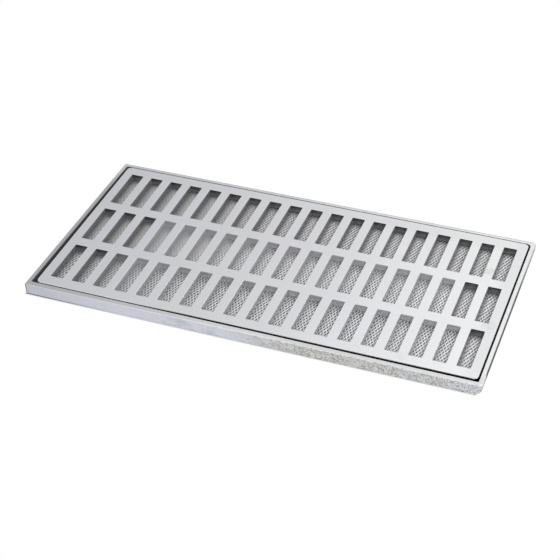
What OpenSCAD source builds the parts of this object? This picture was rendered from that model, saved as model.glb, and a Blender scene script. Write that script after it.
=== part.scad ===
// Rectangular drain grate: a slotted cast plate that drops into a shallow cast frame, with an
// expanded-metal screen held between the underside of the plate and the ledge of the frame.
// Lengths are in millimetres. X runs along the grate, Y across it and Z up. The origin is the
// centre of the frame's outline, on the surface that the frame stands on.

/* [Slots] */
// Number of slots along the plate
slot_columns = 19; // [6:1:24]
// Number of rows of slots across the plate
slot_rows = 3; // [1:1:4]
// Width of a slot, along X
slot_width = 11.5; // [9:0.5:15]
// Length of a slot, along Y
slot_length = 48.6; // [36:0.2:60]
// Radius of a slot's upright corners
slot_corner = 1; // [0.6:0.1:3]
// Width of the bar between two slots of a row
bar_width = 8.5; // [6:0.5:12]
// Width of the cross bar between two rows
cross_bar = 11.2; // [8:0.2:16]

/* [Grate plate] */
// Thickness of the plate
plate_thickness = 5.8; // [4:0.2:14]
// Solid border between the end slots and the plate's ends
end_border = 8.75; // [8:0.25:16]
// Solid border between the slots and the plate's long sides
side_border = 11.15; // [9:0.05:18]
// Radius of the plate's upright corners
plate_corner = 4.5; // [2:0.5:6]
// Bevel along the plate's top edge
plate_bevel = 0.4; // [0.2:0.1:1.2]
// Bevel along the top edge of each slot
slot_bevel = 0.2; // [0.2:0.1:1]

/* [Fit of the plate in the frame] */
// Gap between plate and frame at the left end, at the back corner
left_gap = 1.8; // [0.4:0.1:3]
// Gap at the right end
right_gap = 1.1; // [0.4:0.1:3]
// Gap along the front, at the left corner
front_gap = 1.1; // [0.4:0.1:3]
// Gap along the back
back_gap = 0.4; // [0.2:0.1:3]
// How much further out the frame's left side stands at the front than at the back
left_skew = 1.6; // [0:0.1:3]
// How much wider the front gap is at the right corner than at the left
front_flare = 1.2; // [0:0.1:2.5]

/* [Frame] */
// Width of the frame's rim, seen from above
rim_width = 4; // [3:0.1:8]
// How far the ledge reaches in from the inside of the rim
ledge_reach = 8; // [7:0.25:9]
// Thickness of the ledge
ledge_thickness = 3.9; // [1.2:0.1:6]
// How much the frame's outside leans in from top to bottom
frame_draft = 0.3; // [0:0.1:0.8]
// Bevel along the frame's top outside edge
rim_bevel = 0.5; // [0.2:0.1:0.8]
// Bevel along the frame's top inside edge
lip_bevel = 0.3; // [0.1:0.1:0.6]
// Radius of the two upright corners at the frame's left end
left_corner = 0.8; // [0.4:0.1:3]
// Radius of the two upright corners at the frame's right end
right_corner = 2.6; // [1:0.1:4]
// Radius to which the lower edge at the right end is worn round
worn_edge = 5; // [1:0.5:6]

/* [Screen] */
// Overall thickness of the screen
screen_thickness = 0.9; // [0.6:0.1:2]
// Height of the strands above the web between them
strand_height = 0.4; // [0.2:0.1:0.5]
// Width of a strand
strand_width = 1.6; // [1:0.1:2.4]
// How far the screen's edge lies inside the plate's edge
screen_inset = 1.5; // [0.5:0.1:2.5]

/* [Hidden] */
$fn = 48;

// Facets of a rounded corner, and a small overrun that lets a cut pass clean through a face
corner_steps = 6;
round_steps = 4;
overrun = 1;

// The slots set the plate, the plate and its gaps set the opening, and the rim sets the frame
column_pitch = slot_width + bar_width;
row_pitch = slot_length + cross_bar;
plate_length = slot_columns * column_pitch - bar_width + 2 * end_border;
plate_depth = slot_rows * row_pitch - cross_bar + 2 * side_border;
opening_length = left_skew + left_gap + plate_length + right_gap;
opening_depth = front_flare + front_gap + plate_depth + back_gap;
frame_length = opening_length + 2 * rim_width;
frame_depth = opening_depth + 2 * rim_width;

// Heights: the ledge carries the screen, the screen carries the plate, and the rim ends level with it
screen_bottom = ledge_thickness;
plate_bottom = screen_bottom + screen_thickness;
frame_height = plate_bottom + plate_thickness;

// Centre of the plate, seen from the centre of the frame
plate_x = (left_skew + left_gap - right_gap) / 2;
plate_y = (front_flare + front_gap - back_gap) / 2;

// Sides of the frame's outline and of its opening, as [left x, front y, right x, back y], where
// the left x is taken half way along the left side and the front y half way along the front side
left_lean = left_skew / frame_depth;
front_lean = -front_flare / opening_length;
outer_sides = [(left_skew - frame_length) / 2, -frame_depth / 2, frame_length / 2, frame_depth / 2];
opening_sides = [
    (left_skew - frame_length) / 2 + rim_width,
    front_flare / 2 - frame_depth / 2 + rim_width,
    frame_length / 2 - rim_width,
    frame_depth / 2 - rim_width
];
outer_lean = [left_lean, 0];
opening_lean = [left_lean, front_lean];

// Corner radii in the order front left, front right, back right, back left. The opening is nearly
// square at the front left and follows the plate's round corner at the back right.
outer_radii = [left_corner, right_corner, right_corner, left_corner];
square_corner = 0.5;
small_corner = 1.3;
followed_corner = max(square_corner, plate_corner - back_gap);
opening_radii = [square_corner, small_corner, followed_corner, small_corner];

// Colours
cast_colour = [0.80, 0.81, 0.82];
plate_colour = [0.86, 0.87, 0.88];
screen_colour = [0.62, 0.63, 0.65];

// The four corners of an outline whose sides are moved in by an inset each. The left side and the
// front side lean: the left x grows with y by lean[0], and the front y grows with x by lean[1].
function corners(sides, lean, inset) =
    let (left = sides[0] + inset[0], front = sides[1] + inset[1])
    let (right = sides[2] - inset[2], back = sides[3] - inset[3])
    let (meet = (left + lean[0] * front) / (1 - lean[0] * lean[1]))
    [
        [meet, front + lean[1] * meet],
        [right, front + lean[1] * right],
        [right, back],
        [left + lean[0] * back, back]
    ];

// A ring of points at height z, anticlockwise from the front left corner. Each corner is an arc
// of its own radius, whose centre lies that far inside both of the sides that meet there.
inward = [[1, 1], [-1, 1], [-1, -1], [1, -1]];
function ring(corner, radii, z) = [
    for (i = [0:3])
        for (k = [0:corner_steps])
            let (a = 180 + 90 * i + 90 * k / corner_steps)
            concat(corner[i] + radii[i] * (inward[i] + [cos(a), sin(a)]), z)
];

// A closed band of solid from rings of equal length: each ring is joined to the next one, and the
// last to the first, so the rings follow the section of the band once round.
module band(rings) {
    n = len(rings[0]);
    m = len(rings);
    polyhedron(
        points = [for (r = rings) each r],
        faces = [
            for (j = [0:m - 1], i = [0:n - 1])
                let (a = j * n + i, b = j * n + (i + 1) % n)
                let (c = ((j + 1) % m) * n + (i + 1) % n, d = ((j + 1) % m) * n + i)
                each [[a, d, b], [b, d, c]]
        ]
    );
}

// Lean of the frame's outside at height z, as an inset from its top
function draft(z) = frame_draft * (1 - z / frame_height);

// One ring of the outside: the draft on every side, and a further inset on the right
function outside(z, right_inset, bevel) =
    let (d = draft(z) + bevel)
    ring(corners(outer_sides, outer_lean, [d, d, d + right_inset, d]), outer_radii, z);

// One ring of the opening, moved in from its wall by the same inset on every side
function inside(z, inset) =
    ring(corners(opening_sides, opening_lean, [inset, inset, inset, inset]), opening_radii, z);

// The cast frame: an L section, whose ledge carries the screen and the plate, taken round the opening
module frame() {
    worn = [
        for (k = [0:round_steps])
            let (a = 90 * k / round_steps)
            outside(worn_edge * (1 - cos(a)), worn_edge * (1 - sin(a)), 0)
    ];
    color(cast_colour)
        band(concat(
            worn,
            [
                outside(frame_height - rim_bevel, 0, 0),
                outside(frame_height, 0, rim_bevel),
                inside(frame_height, -lip_bevel),
                inside(frame_height - lip_bevel, 0),
                inside(ledge_thickness, 0),
                inside(ledge_thickness, ledge_reach),
                inside(0, ledge_reach)
            ]
        ));
}

// A rectangle centred on the origin with round corners
module round_rectangle(length, depth, radius) {
    square([length - 2 * radius, depth], center = true);
    square([length, depth - 2 * radius], center = true);
    for (x = [-1, 1], y = [-1, 1])
        translate([x * (length / 2 - radius), y * (depth / 2 - radius)])
            circle(radius);
}

// A beam along X with a flat bottom, whose sides slope from its bottom width to its top width
module beam(length, bottom, top, height) {
    rotate([90, 0, 90])
        linear_extrude(length, center = true)
            polygon([[-bottom / 2, 0], [bottom / 2, 0], [top / 2, height], [-top / 2, height]]);
}

// The plate's outline as a slab whose top edge is bevelled all round, round the corners too: two
// beams that cross, and a round post at each corner
module bevelled_slab(length, depth, thickness, radius, bevel) {
    bevelled_beam(length - 2 * radius, depth, thickness, bevel);
    rotate([0, 0, 90])
        bevelled_beam(depth - 2 * radius, length, thickness, bevel);
    for (x = [-1, 1], y = [-1, 1])
        translate([x * (length / 2 - radius), y * (depth / 2 - radius), 0])
            rotate_extrude()
                polygon([
                    [0, 0],
                    [radius, 0],
                    [radius, thickness - bevel],
                    [radius - bevel, thickness],
                    [0, thickness]
                ]);
}

// A beam along X with upright sides and a bevel along both of its top edges
module bevelled_beam(length, width, height, bevel) {
    rotate([90, 0, 90])
        linear_extrude(length, center = true)
            polygon([
                [-width / 2, 0],
                [width / 2, 0],
                [width / 2, height - bevel],
                [width / 2 - bevel, height],
                [bevel - width / 2, height],
                [-width / 2, height - bevel]
            ]);
}

// Places its children at the centre of every slot
module at_slots() {
    for (i = [0:slot_columns - 1], j = [0:slot_rows - 1])
        translate([
            (i - (slot_columns - 1) / 2) * column_pitch,
            (j - (slot_rows - 1) / 2) * row_pitch,
            0
        ])
            children();
}

// The bevel round the top of one slot: two tapered beams crossed, trimmed to a rounded outline. It
// starts one bevel below its edge in the slot's wall and ends one bevel above the plate.
module slot_mouth() {
    low = [slot_width - 2 * slot_bevel, slot_length - 2 * slot_bevel];
    high = [slot_width + 4 * slot_bevel, slot_length + 4 * slot_bevel];
    rise = 3 * slot_bevel;
    translate([0, 0, plate_thickness - 2 * slot_bevel])
        intersection() {
            rotate([0, 0, 90])
                beam(high[1], low[0], high[0], rise);
            beam(high[0], low[1], high[1], rise);
            linear_extrude(rise)
                round_rectangle(high[0], high[1], slot_corner + 2 * slot_bevel);
        }
}

// The slotted cast plate
module grate_plate() {
    color(plate_colour)
        translate([plate_x, plate_y, plate_bottom])
            difference() {
                bevelled_slab(plate_length, plate_depth, plate_thickness, plate_corner, plate_bevel);
                translate([0, 0, -overrun])
                    linear_extrude(plate_thickness + 2 * overrun)
                        at_slots()
                            round_rectangle(slot_width, slot_length, slot_corner);
                at_slots()
                    slot_mouth();
            }
}

// The screen's diamond cells line up with the slots: two cells to a column and three to a row
cell = [column_pitch / 2, row_pitch / 3];
// Share of a cell that is left open when each strand takes its width from it
cell_inradius = cell[0] * cell[1] / (2 * norm(cell));
cell_open = 1 - strand_width / 2 / cell_inradius;

// Cells seen through one slot, in cells from its centre: the first two go right through the
// screen, and the others are hollows between the strands
through_cells = [[0, -0.5], [0, 0.5]];
hollow_cells = [[-0.5, -1], [0.5, -1], [-0.5, 0], [0.5, 0], [-0.5, 1], [0.5, 1]];
// A hollow that two rows share, half way between them
shared_cell = [[0, 1.5]];

// The corner points of one diamond
function diamond(centre) = [
    for (a = [0:90:270])
        centre + cell_open * [cell[0] / 2 * cos(a), cell[1] / 2 * sin(a)]
];

// Centres of the listed cells at every slot
function cell_centres(cells, rows) = [
    for (i = [0:slot_columns - 1], j = [0:1:rows - 1], c = cells)
        [
            (i - (slot_columns - 1) / 2) * column_pitch + c[0] * cell[0],
            (j - (slot_rows - 1) / 2) * row_pitch + c[1] * cell[1]
        ]
];

// The expanded-metal screen: one sheet with the open cells cut through it, and the hollows sunk
// between the strands on its upper face
module mesh_screen() {
    size = [plate_length - 2 * screen_inset, plate_depth - 2 * screen_inset];
    open = cell_centres(through_cells, slot_rows);
    hollow = concat(cell_centres(hollow_cells, slot_rows), cell_centres(shared_cell, slot_rows - 1));
    color(screen_colour)
        translate([plate_x, plate_y, screen_bottom])
            difference() {
                linear_extrude(screen_thickness)
                    difference() {
                        square(size, center = true);
                        for (c = open) polygon(diamond(c));
                    }
                translate([0, 0, screen_thickness - strand_height])
                    linear_extrude(strand_height + overrun)
                        for (c = hollow) polygon(diamond(c));
            }
}

frame();
grate_plate();
mesh_screen();
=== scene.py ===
import math

import bpy
import numpy as np
from bpy.props import FloatProperty, FloatVectorProperty, PointerProperty
from mathutils import Matrix, Vector


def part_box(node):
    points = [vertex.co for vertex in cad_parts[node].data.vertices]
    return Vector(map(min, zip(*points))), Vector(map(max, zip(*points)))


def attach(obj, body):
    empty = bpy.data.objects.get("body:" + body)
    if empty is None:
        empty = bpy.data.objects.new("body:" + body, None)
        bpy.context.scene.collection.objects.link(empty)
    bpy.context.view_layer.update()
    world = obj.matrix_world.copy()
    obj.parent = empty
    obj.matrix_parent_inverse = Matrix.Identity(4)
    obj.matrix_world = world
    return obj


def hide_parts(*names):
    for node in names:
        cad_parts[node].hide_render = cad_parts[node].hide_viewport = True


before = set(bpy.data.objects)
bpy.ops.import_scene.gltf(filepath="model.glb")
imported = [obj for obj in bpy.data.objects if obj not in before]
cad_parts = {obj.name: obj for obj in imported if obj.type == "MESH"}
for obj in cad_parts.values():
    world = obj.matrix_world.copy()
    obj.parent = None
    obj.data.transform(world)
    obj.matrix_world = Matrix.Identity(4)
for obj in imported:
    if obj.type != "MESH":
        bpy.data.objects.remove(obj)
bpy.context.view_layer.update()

bl_info = {
    "name": "Rectangular drain grate",
    "version": (1, 0, 0),
    "blender": (4, 5, 0),
    "location": "View3D > Sidebar > Drain grate",
    "description": "Finishes of a cast drain grate and frame, and its expanded-metal screen strand by strand",
    "category": "Object",
}

MM = 0.001
PLATE_LOW, PLATE_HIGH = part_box("grate_plate")
FRAME_LOW, FRAME_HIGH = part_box("frame")
SCREEN_LOW, SCREEN_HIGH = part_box("mesh_screen")
PLATE_CENTRE = (PLATE_LOW + PLATE_HIGH) / 2
COLUMN_PITCH = 20.0
ROW_PITCH = 59.8
SLOT_WIDTH = 11.5
SLOT_LENGTH = 48.6
WORN_EDGE = 5.0
# Reach of the dirt from the left and far walls of a slot, and what it does to a strand at most
FILM_REACH = (9.0, 17.0)
CAKED_WIDER = 0.75
CAKED_FLATTER = 0.45


# Settings

class CastFrameSettings(bpy.types.PropertyGroup):
    cast_colour: FloatVectorProperty(
        name="Cast colour",
        description="Colour of the frame's outside as it left the mould",
        subtype="COLOR",
        size=3,
        min=0,
        max=1,
        default=(0.575, 0.588, 0.655),
    )
    rim_colour: FloatVectorProperty(
        name="Rim colour",
        description="Colour of the rim's ground top",
        subtype="COLOR",
        size=3,
        min=0,
        max=1,
        default=(0.66, 0.665, 0.67),
    )
    # Painted shade: the frame's inside walls and the ledge are painted with this dark colour for the shade in
    # the narrow gap round the plate
    inside_shade_colour: FloatVectorProperty(
        name="Inside colour",
        description="Colour of the dull inside walls and the ledge",
        subtype="COLOR",
        size=3,
        min=0,
        max=1,
        default=(0.10, 0.10, 0.105),
    )
    sand_grain: FloatProperty(
        name="Sand grain",
        description="Size of the grain that the sand mould left",
        unit="LENGTH",
        precision=5,
        min=0.0002,
        default=0.0016,
    )
    grain_depth: FloatProperty(
        name="Grain depth",
        description="Depth of the sand grain in the cast faces",
        unit="LENGTH",
        precision=5,
        min=0,
        default=0.00018,
    )


class GroundPlateSettings(bpy.types.PropertyGroup):
    top_colour: FloatVectorProperty(
        name="Top colour",
        description="Colour of the plate's ground top",
        subtype="COLOR",
        size=3,
        min=0,
        max=1,
        default=(0.808, 0.812, 0.822),
    )
    edge_colour: FloatVectorProperty(
        name="Edge colour",
        description="Colour of the fine bevels round the plate and its slots",
        subtype="COLOR",
        size=3,
        min=0,
        max=1,
        default=(0.70, 0.705, 0.72),
    )
    wall_colour: FloatVectorProperty(
        name="Wall colour",
        description="Colour of the cast walls inside the slots",
        subtype="COLOR",
        size=3,
        min=0,
        max=1,
        default=(0.60, 0.61, 0.62),
    )
    # Painted shade: the walls of the slots in the back row and near both ends are painted with this dark
    # colour
    wall_shade_colour: FloatVectorProperty(
        name="Dull colour",
        description="Colour of the walls where dirt has settled in the slots",
        subtype="COLOR",
        size=3,
        min=0,
        max=1,
        default=(0.30, 0.30, 0.315),
    )
    roughness: FloatProperty(
        name="Roughness",
        description="Roughness of the satin top",
        subtype="FACTOR",
        min=0,
        max=1,
        default=0.42,
    )


class ScreenSettings(bpy.types.PropertyGroup):
    spacing: FloatProperty(
        name="Strand spacing",
        description="Distance between two neighbouring strands",
        unit="LENGTH",
        precision=5,
        min=0.001,
        default=0.00145,
    )
    diamond_length: FloatProperty(
        name="Diamond length",
        description="Length of one diamond along the strands",
        unit="LENGTH",
        precision=5,
        min=0.002,
        default=0.00625,
    )
    strand_width: FloatProperty(
        name="Strand width",
        description="Width of one strand",
        unit="LENGTH",
        precision=5,
        min=0.0002,
        default=0.0008,
    )
    strand_thickness: FloatProperty(
        name="Strand thickness",
        description="Thickness of the metal of a strand",
        unit="LENGTH",
        precision=5,
        min=0.0001,
        default=0.00015,
    )
    tilt: FloatProperty(
        name="Strand tilt",
        description="How far each strand is turned out of the sheet's plane",
        subtype="ANGLE",
        default=math.radians(45),
    )
    colour: FloatVectorProperty(
        name="Screen colour",
        description="Colour of the bare aluminium strands",
        subtype="COLOR",
        size=3,
        min=0,
        max=1,
        default=(0.93, 0.935, 0.945),
    )


class StudioSettings(bpy.types.PropertyGroup):
    camera_offset: FloatVectorProperty(
        name="Camera offset",
        description="Camera position, seen from the middle of the plate's top",
        subtype="XYZ",
        unit="LENGTH",
        size=3,
        default=(0.348, -0.9392, 0.7472),
    )
    yaw: FloatProperty(
        name="Yaw",
        description="How far the camera is turned from looking straight along Y",
        subtype="ANGLE",
        default=math.radians(20.64),
    )
    pitch: FloatProperty(
        name="Pitch",
        description="How far the camera looks down",
        subtype="ANGLE",
        default=math.radians(37.41),
    )
    roll: FloatProperty(
        name="Roll",
        description="How far the camera is turned about its line of sight",
        subtype="ANGLE",
        default=math.radians(-0.95),
    )
    focal_length: FloatProperty(
        name="Focal length",
        description="Focal length in millimetres on a sensor 36 mm wide",
        min=10,
        default=92.19,
    )
    sky: FloatProperty(
        name="Sky strength",
        description="Strength of the even light from all round",
        min=0,
        default=0.36,
    )
    sheen: FloatProperty(
        name="Sheen strength",
        description="Strength of the sky that the metal mirrors",
        min=0,
        default=1.0,
    )
    front: FloatProperty(
        name="Front strength",
        description="Power of the large soft lamp in front, in watts",
        min=0,
        default=26.0,
    )
    side: FloatProperty(
        name="Side strength",
        description="Power of the soft lamp above the right end, in watts",
        min=0,
        default=1.8,
    )
    floor_colour: FloatVectorProperty(
        name="Floor colour",
        description="Colour of the plain pale floor",
        subtype="COLOR",
        size=3,
        min=0,
        max=1,
        default=(0.5, 0.5, 0.5),
    )


class GrateSettings(bpy.types.PropertyGroup):
    cast_frame: PointerProperty(type=CastFrameSettings)
    ground_plate: PointerProperty(type=GroundPlateSettings)
    screen: PointerProperty(type=ScreenSettings)
    studio: PointerProperty(type=StudioSettings)


# Materials

class Wire:
    """One output of a shader node, or several numbers. Wires add, multiply and compare like plain
    numbers, and each such step adds the node that works it out."""

    def __init__(self, tree, socket):
        self.tree = tree
        self.socket = socket

    def node(self, kind, inputs=(), out=0, **settings):
        """Adds any other node. Inputs are filled by place or by name, settings are its fields."""
        made = self.tree.nodes.new(kind)
        for name, value in settings.items():
            setattr(made, name, value)
        pairs = inputs.items() if isinstance(inputs, dict) else enumerate(inputs)
        for key, value in pairs:
            if isinstance(value, Wire):
                self.tree.links.new(value.socket, made.inputs[key])
            elif value is not None:
                made.inputs[key].default_value = value
        return Wire(self.tree, made.outputs[out])

    def maths(self, operation, *values):
        return self.node("ShaderNodeMath", values, operation=operation)

    def __add__(self, other):
        return self.maths("ADD", self, other)

    def __sub__(self, other):
        return self.maths("SUBTRACT", self, other)

    def __mul__(self, other):
        return self.maths("MULTIPLY", self, other)

    def __truediv__(self, other):
        return self.maths("DIVIDE", self, other)

    def __pow__(self, other):
        return self.maths("POWER", self, other)

    def __rsub__(self, other):
        return self.maths("SUBTRACT", other, self)

    def __rtruediv__(self, other):
        return self.maths("DIVIDE", other, self)

    def __neg__(self):
        return self.maths("MULTIPLY", self, -1.0)

    def __abs__(self):
        return self.maths("ABSOLUTE", self)

    def __or__(self, other):
        return self.maths("MAXIMUM", self, other)

    def __and__(self, other):
        return self.maths("MINIMUM", self, other)

    __radd__ = __add__
    __rmul__ = __mul__

    def rise(self, low, high):
        """Nought below low, one above high, and smooth between them."""
        return self.node(
            "ShaderNodeMapRange",
            {"Value": self, "From Min": low, "From Max": high},
            interpolation_type="SMOOTHSTEP",
        )

    def blend(self, first, second):
        """The first colour where this is nought, the second where it is one."""
        return self.node(
            "ShaderNodeMix",
            {0: self, 6: colour(first), 7: colour(second)},
            out=2,
            data_type="RGBA",
        )

    def split(self):
        """The three parts of a vector."""
        first = self.node("ShaderNodeSeparateXYZ", [self])
        source = first.socket.node
        return [Wire(self.tree, output) for output in source.outputs]

    def moved(self, offset, stretch):
        """A vector less an offset, times a factor for each axis."""
        less = self.node("ShaderNodeVectorMath", [self, offset], operation="SUBTRACT")
        return less.node("ShaderNodeVectorMath", [less, stretch], operation="MULTIPLY")

    def noise(self, size, detail=3.0, rough=0.55):
        """Cloudy noise whose patches are about size across, in the vector's own unit."""
        return self.node(
            "ShaderNodeTexNoise",
            {"Vector": self, "Scale": 1.0 / size, "Detail": detail, "Roughness": rough},
        )

    def cells(self, size):
        """Distance from the middle of the nearest of many scattered cells, about size across."""
        return self.node(
            "ShaderNodeTexVoronoi", {"Vector": self, "Scale": 1.0 / size}, feature="F1"
        )


def colour(value):
    return value if isinstance(value, Wire) else (*value, 1.0)


def new_material(name):
    """An empty material with its shader: returns the material, the shader, the place of a point
    in millimetres from the middle of the plate's top, and the direction that the surface faces."""
    made = bpy.data.materials.new(name)
    made.use_nodes = True
    tree = made.node_tree
    shader = tree.nodes["Principled BSDF"]
    coordinates = tree.nodes.new("ShaderNodeTexCoord")
    metres = Wire(tree, coordinates.outputs["Object"])
    origin = (PLATE_CENTRE.x, PLATE_CENTRE.y, PLATE_HIGH.z)
    place = metres.moved(origin, (1 / MM, 1 / MM, 1 / MM))
    return made, shader, place, Wire(tree, coordinates.outputs["Normal"])


def feed(shader, **inputs):
    """Sets the shader's inputs: a wire is linked, and a plain value is written on the socket."""
    tree = shader.id_data
    for name, value in inputs.items():
        socket = shader.inputs[name.replace("_", " ")]
        if isinstance(value, Wire):
            tree.links.new(value.socket, socket)
        else:
            socket.default_value = value


def raised(height, depth, strength=1.0):
    """The normal of a surface whose height, from 0 to 1, is worth depth in metres."""
    return height.node(
        "ShaderNodeBump",
        {"Height": height, "Distance": depth, "Strength": strength},
    )


def spot(x, y, centre, radius, edge=0.6):
    """One inside an oval round a centre and nought outside it, with a soft edge."""
    across = ((x - centre[0]) / radius[0]) ** 2.0
    along = ((y - centre[1]) / radius[1]) ** 2.0
    return 1.0 - (across + along).rise(1.0 - edge, 1.0 + edge)


def ground_plate_material(settings):
    """Satin ground top with faint clouds and stains and painted light that brightens it to the right, bright
    bevels, and darker cast slot walls with painted light and shade.
    """
    made, shader, place, facing = new_material("ground_plate")
    x, y, z = place.split()
    facing_x, facing_y, up = facing.split()
    top = up.rise(0.9, 0.98)
    bevel = up.rise(0.3, 0.5) * (1.0 - top)

    clouds = place.noise(55.0, 3.0, 0.5).rise(0.35, 0.65)
    tint = place.moved((60.0, -20.0, 0.0), (1.0, 1.0, 1.0)).noise(80.0, 2.0).rise(0.3, 0.7)
    fine = place.noise(1.3, 4.0, 0.7)
    base = tuple(settings.top_colour)
    # Ramp of the painted light across the top: low at the left end, high at the right
    bright = x.rise(-300.0, 260.0)
    warm = tuple(c * f for c, f in zip(base, (0.985, 1.005, 0.965)))
    cool = tuple(c * f for c, f in zip(base, (0.99, 0.975, 1.03)))
    face = (tint & (1.2 - x.rise(-60.0, 240.0))).blend(warm, cool)
    face = (clouds * 0.5).blend(face, tuple(c * 0.9 for c in base))
    stains = place.moved((25.0, 70.0, 0.0), (1.0, 1.6, 1.0)).noise(24.0, 4.0, 0.6).rise(0.56, 0.72)
    face = (stains * 0.4).blend(face, tuple(c * f for c, f in zip(base, (0.84, 0.86, 0.83))))
    face = (fine.rise(0.55, 0.75) * 0.12).blend(face, tuple(c * 0.82 for c in base))
    smudge = spot(x, y, (168.0, 46.0), (7.0, 5.0)) * 0.5 | spot(x, y, (186.0, -26.0), (6.0, 7.0)) * 0.45
    smudge = smudge * place.noise(4.0, 4.0).rise(0.35, 0.6)
    face = smudge.blend(face, (0.50, 0.49, 0.48))
    # Painted shade: the top is darker towards the left end, where less light falls on it
    face = ((1.0 - bright) * 0.8).blend(face, tuple(c * f for c, f in zip(base, (0.70, 0.71, 0.75))))

    # Darker along the back, at the right end and in a broad oval in the middle
    darker_zones = (y.rise(72.0, 84.0) * 0.5) | x.rise(176.0, 190.0) | spot(x, y, (-12.0, 0.0), (75.0, 200.0)) * 0.5
    face = (darker_zones * 0.5).blend(face, tuple(c * 0.78 for c in base))

    # Painted shade on the slot walls in the back row and near both ends
    dark = shaded_slots(place)
    far = (-facing_y).rise(0.3, 0.7)
    # Painted shade: their walls that face the front are darker than those that face right
    dirt_and_shade = far.blend(
        tuple(c * 1.2 for c in settings.wall_shade_colour), tuple(c * 0.3 for c in settings.wall_shade_colour)
    )
    # Painted light: their far walls lighten towards the bottom, and a near-black line of painted shade runs
    # along their top
    deep = (-z).rise(2.0, 6.0)
    dirt_and_shade = (deep * far * 0.7).blend(dirt_and_shade, tuple(settings.wall_shade_colour))
    dirt_and_shade = (z.rise(-1.6, -0.8) * far * 0.7).blend(dirt_and_shade, (0.02, 0.02, 0.021))
    # Painted light and shade on the far walls of the other slots: darker than their side walls, lighter
    # towards the bottom and towards the right
    flat = deep.blend(
        tuple(c * 0.6 for c in settings.wall_colour), tuple(c * 0.78 for c in settings.wall_colour)
    )
    flat = (x.rise(-20.0, 130.0) * 0.12).blend(flat, tuple(c * 1.15 for c in settings.wall_colour))
    plain = far.blend(tuple(settings.wall_colour), flat)
    # Walls of the slots in the back row and near both ends take their painted shade
    wall = dark.blend(plain, dirt_and_shade)
    outer = (abs(x) - 192.0) | (abs(y) - 92.5)
    # Painted light: walls that face left are painted lighter, standing in for light falling on them
    wall = (-facing_x).rise(0.3, 0.7).blend(wall, tuple(c * 1.3 for c in settings.wall_colour))
    # Painted shade: the plate's outer side walls, in the gap round the plate, are near black
    wall = outer.rise(0.0, 1.0).blend(wall, (0.01, 0.01, 0.011))
    skin = top.blend(wall, face)
    shaded = (x.rise(-120.0, -50.0) * (-facing_y).rise(0.3, 0.6)) | (facing_x.rise(0.3, 0.6))
    edge = (shaded * outer.rise(1.0, 2.0)).blend(tuple(settings.edge_colour), (0.06, 0.06, 0.065))
    # Bevels on slot walls that face the front or the right take the walls' colour with its painted shade
    seen = ((-facing_y).rise(0.3, 0.6) | facing_x.rise(0.3, 0.6)) * (1.0 - outer.rise(0.0, 1.0))
    edge = seen.blend(edge, wall)
    skin = bevel.blend(skin, edge)

    rough = settings.roughness + clouds * 0.06 - (1.0 - top) * dark * 0.2
    grain = place.noise(0.5, 3.0, 0.7)
    feed(
        shader,
        Base_Color=skin,
        Metallic=0.7 + outer.rise(0.0, 1.0) * (1.0 - up.rise(0.0, 0.3)) * 0.3,
        Roughness=rough,
        Normal=raised(grain, 0.00002, 0.5),
    )
    return made


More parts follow.
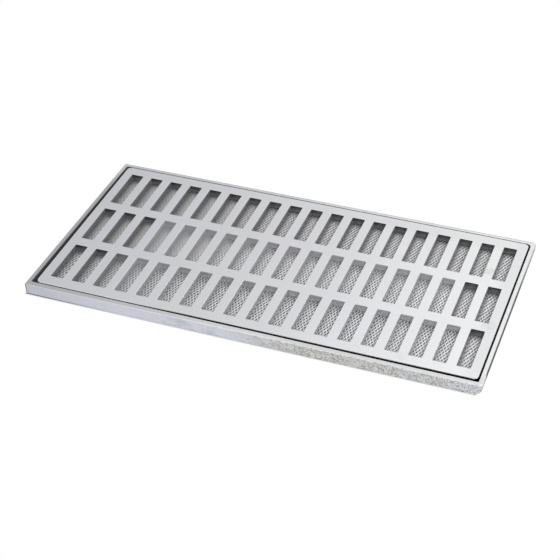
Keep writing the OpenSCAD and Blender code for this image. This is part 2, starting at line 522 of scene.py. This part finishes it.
def cast_frame_material(settings):
    """Sand-cast outside, grainier and pitted towards the right, under a brighter ground rim, with painted
    shade on the inside walls, towards the left end, on the rim's back edge and on the outer edges."""
    made, shader, place, facing = new_material("cast_frame")
    x, y, z = place.split()
    ax, ay, up = facing.split()
    top = up.rise(0.55, 0.9) * z.rise(-1.2, -0.8)

    half_length = (FRAME_HIGH.x - FRAME_LOW.x) / 2 / MM
    half_depth = (FRAME_HIGH.y - FRAME_LOW.y) / 2 / MM
    shift_x, shift_y = -PLATE_CENTRE.x / MM, -PLATE_CENTRE.y / MM
    from_side = half_length - abs(x - shift_x)
    from_front = half_depth - abs(y - shift_y)
    within = (from_side & from_front).rise(3.0, 3.6)
    inside = within * (1.0 - up.rise(0.8, 0.95) * top)

    grain_size = settings.sand_grain / MM
    grain = place.noise(grain_size, 4.0, 0.65)
    coarse = place.noise(grain_size * 3.5, 3.0, 0.6)
    speck = place.moved((7.0, 3.0, 5.0), (1.0, 1.0, 1.0)).noise(grain_size * 0.8, 2.0, 0.6)
    rougher = (x + place.noise(30.0) * 40.0).rise(0.0, 70.0)
    pits = 1.0 - place.moved((0.0, 0.0, 0.0), (1.0, 1.0, 1.6)).cells(6.5).rise(0.05, 0.16)
    pits = pits * rougher * place.noise(14.0).rise(0.42, 0.55)

    base = tuple(settings.cast_colour)
    grey = tuple(sum(base) / 3 * c for c in (0.92, 0.92, 0.905))
    side = (rougher * place.noise(45.0, 1.0).rise(0.35, 0.5)).blend(base, grey)
    shade = rougher.blend(tuple(c * 0.7 for c in base), tuple(c * 0.68 for c in grey))
    side = (coarse.rise(0.3, 0.7) * (0.14 + rougher * 0.3)).blend(side, shade)
    side = ((1.0 - grain.rise(0.42, 0.56)) * rougher * 0.6).blend(side, tuple(c * 1.1 for c in grey))
    side = (speck.rise(0.51, 0.6) * rougher * 0.75).blend(side, tuple(c * 0.3 for c in grey))
    stains = place.moved((0.0, 0.0, 0.0), (1.0, 1.0, 1.4)).noise(9.0, 4.0, 0.65).rise(0.48, 0.68)
    side = (stains * x.rise(-95.0, -55.0) * 0.55).blend(side, shade)
    side = (pits * 0.85).blend(side, (0.08, 0.08, 0.085))
    # Painted shade: the outside is darker towards the left end
    side = ((1.0 - x.rise(-240.0, -110.0)) * 0.6).blend(side, tuple(c * 0.7 for c in base))
    rim = coarse.rise(0.35, 0.7).blend(
        tuple(settings.rim_colour), tuple(c * 0.92 for c in settings.rim_colour)
    )
    far = y.rise(60.0, 95.0)
    # Painted shade: the rim is darker towards the left end, less so along the back
    rim = ((1.0 - x.rise(-230.0, 60.0)) * (1.0 - far * 0.8)).blend(
        rim, tuple(c * f for c, f in zip(settings.rim_colour, (0.62, 0.62, 0.63)))
    )
    near = (-y - 85.0).rise(0.0, 10.0) * x.rise(0.0, 60.0)
    rim = (near * 0.6).blend(rim, tuple(c * 0.8 for c in settings.rim_colour))
    # Painted shade: a dark line along the rim's back edge
    brink = (y - (half_depth - 0.9 + shift_y)).rise(-0.3, 0.3)
    rim = (brink * 0.9).blend(rim, (0.12, 0.12, 0.122))
    skin = top.blend(side, rim)
    # Painted shade: the inside walls and the ledge are painted dark
    skin = inside.blend(skin, tuple(settings.inside_shade_colour))
    # Painted shade: the upper part of the right outer face is near black, fading towards the back
    right_face_shade = ax.rise(0.4, 0.8) * (1.0 - inside) * z.rise(-8.5, -5.5)
    right_face_shade = right_face_shade * (1.0 - y.rise(20.0, 95.0) * 0.7) * y.rise(-92.0, -84.0)
    skin = right_face_shade.blend(skin, (0.015, 0.015, 0.016))
    # Painted shade: a dark line down the left outer edge, and a painted contact shadow along the bottom edge
    # at the left end
    edge_shade = (-x - (half_length - shift_x) + 1.3).rise(-0.3, 0.3) * (1.0 - top)
    edge_shade = edge_shade | (-z - 9.8).rise(-0.2, 0.2) * (1.0 - x.rise(-190.0, -110.0))
    skin = (edge_shade * 0.85 * (1.0 - inside)).blend(skin, (0.05, 0.05, 0.053))

    relief = coarse * (0.25 + rougher * 0.75) + grain * (0.2 + rougher * 0.6) - pits * 1.5
    feed(
        shader,
        Base_Color=skin,
        Metallic=0.3,
        Roughness=0.5 + coarse * 0.12 + rougher * 0.1,
        Normal=raised(relief * (1.0 - top * 0.8), settings.grain_depth, 0.9),
    )
    return made


def shaded_slots(place):
    """One in the slots whose walls and screen take the darker painted shade: those of the back row and those
    near both ends.
    """
    x, y, z = place.split()
    column = x.maths("ROUND", x / COLUMN_PITCH) * COLUMN_PITCH
    row = y.maths("ROUND", y / ROW_PITCH) * ROW_PITCH
    oval = ((column - 11.0) / 157.0) ** 2.0 + ((row + 60.0) / 132.0) ** 2.0
    return oval.rise(0.905, 0.945) | row.rise(24.0, 34.0)


def screen_material(settings):
    """Bare aluminium strands, with the walls' shadow painted on them towards the left and far walls of each
    slot.
    """
    made, shader, place, facing = new_material("expanded_screen")
    x, y, z = place.split()
    from_left = ((x / COLUMN_PITCH + 0.5).maths("FRACT", x / COLUMN_PITCH + 0.5) - 0.5) * COLUMN_PITCH
    from_left = from_left + SLOT_WIDTH / 2
    from_far = ((y / ROW_PITCH + 0.5).maths("FRACT", y / ROW_PITCH + 0.5) - 0.5) * ROW_PITCH
    from_far = SLOT_LENGTH / 2 - from_far
    dark = shaded_slots(place)
    light = 1.0 - dark
    # Painted shadow of the left and far walls on the strands; it reaches further in the other slots and
    # towards the left end
    reach = 5.0 + (1.0 - x.rise(-170.0, 20.0)) * 3.0 + light * 3.0
    wall_shadow = 1.0 - (from_left / reach).rise(-0.1, 1.0) * (from_far / (8.5 + light * 7.0)).rise(-0.1, 1.0)
    patches = place.noise(9.0, 3.0).rise(0.3, 0.7)
    base = tuple(settings.colour)
    skin = (patches * 0.3).blend(base, tuple(c * 0.85 for c in base))
    # Colour of the painted shadow: darker in the back row and near both ends
    wall_shadow_colour = dark.blend((0.34, 0.34, 0.35), (0.16, 0.16, 0.165))
    skin = wall_shadow.blend(skin, wall_shadow_colour)
    feed(shader, Base_Color=skin, Metallic=0.4, Roughness=0.34 + patches * 0.1)
    return made


def dress(node, made):
    """Puts one material on every face of a CAD node."""
    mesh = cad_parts[node].data
    mesh.materials.clear()
    mesh.materials.append(made)
    mesh.polygons.foreach_set("material_index", np.zeros(len(mesh.polygons), np.int32))


# Pieces

def caked(x, y):
    """How far dirt fills the cells, from 0 to 1, at points in metres. It is most at the left and
    far walls of each slot, and falls to nothing over FILM_REACH."""
    x, y = (x - PLATE_CENTRE.x) / MM, (y - PLATE_CENTRE.y) / MM
    column, row = np.round(x / COLUMN_PITCH), np.round(y / ROW_PITCH)
    from_left = x - column * COLUMN_PITCH + SLOT_WIDTH / 2
    from_far = row * ROW_PITCH + SLOT_LENGTH / 2 - y
    clean = np.clip(from_left / FILM_REACH[0], 0, 1) * np.clip(from_far / FILM_REACH[1], 0, 1)
    oval = ((column * COLUMN_PITCH - 11.0) / 157.0) ** 2 + ((row * ROW_PITCH + 60.0) / 132.0) ** 2
    light = np.clip((0.945 - oval) / 0.04, 0, 1) * (row < 1)
    haze = np.interp(np.abs(y), [15.0, 45.0], [0.6, 0.25])
    return (1.0 - clean * (1.0 - haze)) * light


def screen_strands(settings):
    """Strand k runs along Y at x = k times the spacing. It sways to either side, and with it up
    and down, by a triangle wave as long as a diamond. Neighbours sway opposite ways, so that they
    run into each other at every bond. The section is a flat rectangle, tilted about Y, at every
    turning point; where dirt fills the cells it is wider and lies flatter. Returns the points, and
    the side quads and end quads."""
    thickness = settings.strand_thickness
    sway = settings.spacing / 2
    widest = settings.strand_width * (1 + CAKED_WIDER)

    reach = SCREEN_HIGH.x - SCREEN_LOW.x - 2 * sway - widest - thickness
    strands = int(reach / settings.spacing) + 1
    turns = round((SCREEN_HIGH.y - SCREEN_LOW.y) / settings.diamond_length * 2) + 1
    k = np.arange(strands)[:, None, None]
    j = np.arange(turns)[None, :, None]
    side = np.where((k + j) % 2, 1.0, -1.0)
    middle = (SCREEN_LOW + SCREEN_HIGH) / 2
    x = middle.x + (k - (strands - 1) / 2) * settings.spacing + side * sway
    y = SCREEN_LOW.y + j * (SCREEN_HIGH.y - SCREEN_LOW.y) / (turns - 1)

    dirt_and_shade = caked(x, y)
    width = settings.strand_width * (1 + CAKED_WIDER * dirt_and_shade)
    tilt = settings.tilt * (1 - CAKED_FLATTER * dirt_and_shade)
    cosine, sine = np.cos(tilt), np.sin(tilt)
    lift = (SCREEN_HIGH.z - SCREEN_LOW.z - width * sine - thickness * cosine) / 2
    corner_x = np.array([-1.0, 1.0, 1.0, -1.0]) * width / 2
    corner_z = np.array([-1.0, -1.0, 1.0, 1.0]) * thickness / 2
    points = np.empty((strands, turns, 4, 3))
    points[..., 0] = x + corner_x * cosine + corner_z * sine
    points[..., 1] = y
    points[..., 2] = middle.z + side * lift + corner_z * cosine - corner_x * sine

    start = (np.arange(strands)[:, None, None] * turns + np.arange(turns - 1)[None, :, None]) * 4
    c = np.arange(4)[None, None, :]
    n = (c + 1) % 4
    sides = np.stack([start + c, start + n, start + 4 + n, start + 4 + c], axis=-1).reshape(-1, 4)
    first = (np.arange(strands) * turns * 4)[:, None]
    last = first + (turns - 1) * 4
    ends = np.concatenate([first + [3, 2, 1, 0], last + [0, 1, 2, 3]])
    return points.reshape(-1, 3), np.concatenate([sides[:, ::-1], ends[:, ::-1]])


def quad_mesh(name, points, quads):
    """A mesh object of the points and four-sided faces."""
    mesh = bpy.data.meshes.new(name)
    mesh.vertices.add(len(points))
    mesh.vertices.foreach_set("co", points.astype(np.float32).ravel())
    mesh.loops.add(quads.size)
    mesh.loops.foreach_set("vertex_index", quads.astype(np.int32).ravel())
    mesh.polygons.add(len(quads))
    mesh.polygons.foreach_set("loop_start", np.arange(0, quads.size, 4, dtype=np.int32))
    mesh.update(calc_edges=True)
    mesh.validate()
    made = bpy.data.objects.new(name, mesh)
    bpy.context.scene.collection.objects.link(made)
    return made


class GRATE_OT_cast_frame(bpy.types.Operator):
    """Give the cast frame its sand-cast and ground finish"""

    bl_idname = "drain_grate.cast_frame"
    bl_label = "Cast frame"

    def execute(self, context):
        dress("frame", cast_frame_material(context.scene.drain_grate.cast_frame))
        return {"FINISHED"}


class GRATE_OT_ground_plate(bpy.types.Operator):
    """Give the slotted plate its satin ground finish"""

    bl_idname = "drain_grate.ground_plate"
    bl_label = "Ground plate"

    def execute(self, context):
        dress("grate_plate", ground_plate_material(context.scene.drain_grate.ground_plate))
        return {"FINISHED"}


class GRATE_OT_screen(bpy.types.Operator):
    """Make the expanded-metal screen, strand by strand"""

    bl_idname = "drain_grate.screen"
    bl_label = "Expanded screen"

    def execute(self, context):
        settings = context.scene.drain_grate.screen
        screen = quad_mesh("expanded_screen", *screen_strands(settings))
        screen.data.materials.append(screen_material(settings))
        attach(screen, "root")
        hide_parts("mesh_screen")
        return {"FINISHED"}


class GRATE_OT_studio(bpy.types.Operator):
    """Make the floor, the lamps and the camera"""

    bl_idname = "drain_grate.studio"
    bl_label = "Studio"

    def execute(self, context):
        settings = context.scene.drain_grate.studio
        context.scene.view_settings.view_transform = "Standard"
        make_floor(settings)
        make_sky(context.scene, settings)
        make_lamps(context.scene, settings)
        make_camera(context.scene, settings)
        return {"FINISHED"}


# Studio

def seen_directly(wire):
    """One for rays from the camera and for those that a mirror or glass sends on."""
    path = wire.tree.nodes.new("ShaderNodeLightPath")
    names = ("Is Camera Ray", "Is Glossy Ray", "Is Transmission Ray")
    camera, glossy, through = (Wire(wire.tree, path.outputs[name]) for name in names)
    return camera | glossy | through


def make_floor(settings):
    """A wide floor. It is a plain pale surface under the grate and close to it, where it keeps the
    grate's shadow, and away from it the camera sees it as white."""
    size = 3.0
    level = -0.05 * MM
    corners = np.array([(-1, -1), (1, -1), (1, 1), (-1, 1)]) * size
    points = np.column_stack([corners, np.full(4, level)])
    floor = quad_mesh("floor", points, np.array([[0, 1, 2, 3]]))
    made, shader, place, facing = new_material("pale_floor")
    x, y, z = place.split()
    right = x + PLATE_CENTRE.x / MM
    outside_x = (right - FRAME_HIGH.x / MM + WORN_EDGE) | (FRAME_LOW.x / MM - right)
    outside_y = abs(y + PLATE_CENTRE.y / MM) - FRAME_HIGH.y / MM
    away = (outside_x | outside_y).rise(-0.5, 1.5)
    feed(shader, Base_Color=(*settings.floor_colour, 1.0), Roughness=0.9)
    shader.inputs["Specular IOR Level"].default_value = 0.0
    white = place.node("ShaderNodeEmission", {"Color": (1, 1, 1, 1), "Strength": 1.0})
    mixed = place.node(
        "ShaderNodeMixShader",
        [away * seen_directly(place), Wire(place.tree, shader.outputs[0]), white],
    )
    output = place.tree.nodes["Material Output"]
    place.tree.links.new(mixed.socket, output.inputs["Surface"])
    floor.data.materials.append(made)


def make_sky(scene, settings):
    """Even light from all round, a little stronger from the front. Metal mirrors a sky that is
    brighter on the right, and behind it all the camera sees plain white."""
    world = scene.world or bpy.data.worlds.new("sky")
    scene.world = world
    world.use_nodes = True
    tree = world.node_tree
    tree.nodes.clear()
    coordinates = tree.nodes.new("ShaderNodeTexCoord")
    direction = Wire(tree, coordinates.outputs["Generated"])
    x, y, z = direction.split()
    path = tree.nodes.new("ShaderNodeLightPath")
    mirrored = Wire(tree, path.outputs["Is Glossy Ray"])
    seen = Wire(tree, path.outputs["Is Camera Ray"]) | Wire(tree, path.outputs["Is Transmission Ray"])
    even = settings.sky * (1.0 + 0.15 * x - 0.6 * y)
    sheen = settings.sheen * (1.0 + 0.55 * x)
    level = even + mirrored * (sheen - even)
    level = level + seen * (1.0 - level)
    sky = direction.node("ShaderNodeBackground", {"Color": (1, 1, 1, 1), "Strength": level})
    output = tree.nodes.new("ShaderNodeOutputWorld")
    tree.links.new(sky.socket, output.inputs["Surface"])


def make_lamps(scene, settings):
    """A large soft lamp in front and to the right, and a small one above the right end."""
    lamps = (
        ("front", (0.55, -1.35, 1.15), 0.9, settings.front),
        ("side", (0.5, 0.1, 0.42), 0.35, settings.side),
    )
    for name, place, size, power in lamps:
        lamp = bpy.data.lights.new(name, "AREA")
        lamp.shape = "DISK"
        lamp.size = size
        lamp.energy = power
        made = bpy.data.objects.new(name, lamp)
        made.location = place
        aim = Vector((0.12 if name == "side" else 0.0, 0.0, 0.0)) - made.location
        made.rotation_euler = aim.to_track_quat("-Z", "Y").to_euler()
        scene.collection.objects.link(made)


def make_camera(scene, settings):
    """The camera looks along yaw and pitch, and is then turned about its line of sight."""
    cos_yaw, sin_yaw = math.cos(settings.yaw), math.sin(settings.yaw)
    cos_pitch, sin_pitch = math.cos(settings.pitch), math.sin(settings.pitch)
    ahead = Vector((-sin_yaw * cos_pitch, cos_yaw * cos_pitch, -sin_pitch))
    right = Vector((cos_yaw, sin_yaw, 0.0))
    down = ahead.cross(right)
    cos_roll, sin_roll = math.cos(settings.roll), math.sin(settings.roll)
    turned_right = cos_roll * right - sin_roll * down
    turned_down = sin_roll * right + cos_roll * down
    top_centre = Vector((PLATE_CENTRE.x, PLATE_CENTRE.y, PLATE_HIGH.z))
    columns = Matrix((turned_right, -turned_down, -ahead)).transposed()
    camera = bpy.data.cameras.new("camera")
    camera.sensor_fit = "HORIZONTAL"
    camera.sensor_width = 36.0
    camera.lens = settings.focal_length
    camera.clip_start = 0.01
    made = bpy.data.objects.new("camera", camera)
    made.matrix_world = (
        Matrix.Translation(top_centre + Vector(settings.camera_offset)) @ columns.to_4x4()
    )
    scene.collection.objects.link(made)
    scene.camera = made


# Panel and registration

class GRATE_PT_panel(bpy.types.Panel):
    """Lists the pieces and their settings"""

    bl_idname = "GRATE_PT_panel"
    bl_label = "Drain grate"
    bl_space_type = "VIEW_3D"
    bl_region_type = "UI"
    bl_category = "Drain grate"

    def draw(self, context):
        for operator, group in STEPS:
            box = self.layout.box()
            box.operator(operator.bl_idname)
            settings = getattr(context.scene.drain_grate, group)
            for name in settings.__annotations__:
                box.prop(settings, name)


STEPS = (
    (GRATE_OT_cast_frame, "cast_frame"),
    (GRATE_OT_ground_plate, "ground_plate"),
    (GRATE_OT_screen, "screen"),
    (GRATE_OT_studio, "studio"),
)
CLASSES = (
    CastFrameSettings,
    GroundPlateSettings,
    ScreenSettings,
    StudioSettings,
    GrateSettings,
    GRATE_OT_cast_frame,
    GRATE_OT_ground_plate,
    GRATE_OT_screen,
    GRATE_OT_studio,
    GRATE_PT_panel,
)


def register():
    for made in CLASSES:
        bpy.utils.register_class(made)
    bpy.types.Scene.drain_grate = PointerProperty(type=GrateSettings)


def unregister():
    del bpy.types.Scene.drain_grate
    for made in reversed(CLASSES):
        bpy.utils.unregister_class(made)


def main():
    register()
    bpy.ops.drain_grate.studio()
    bpy.ops.drain_grate.cast_frame()
    bpy.ops.drain_grate.ground_plate()
    bpy.ops.drain_grate.screen()
    bpy.context.view_layer.update()


if __name__ == "__main__":
    main()
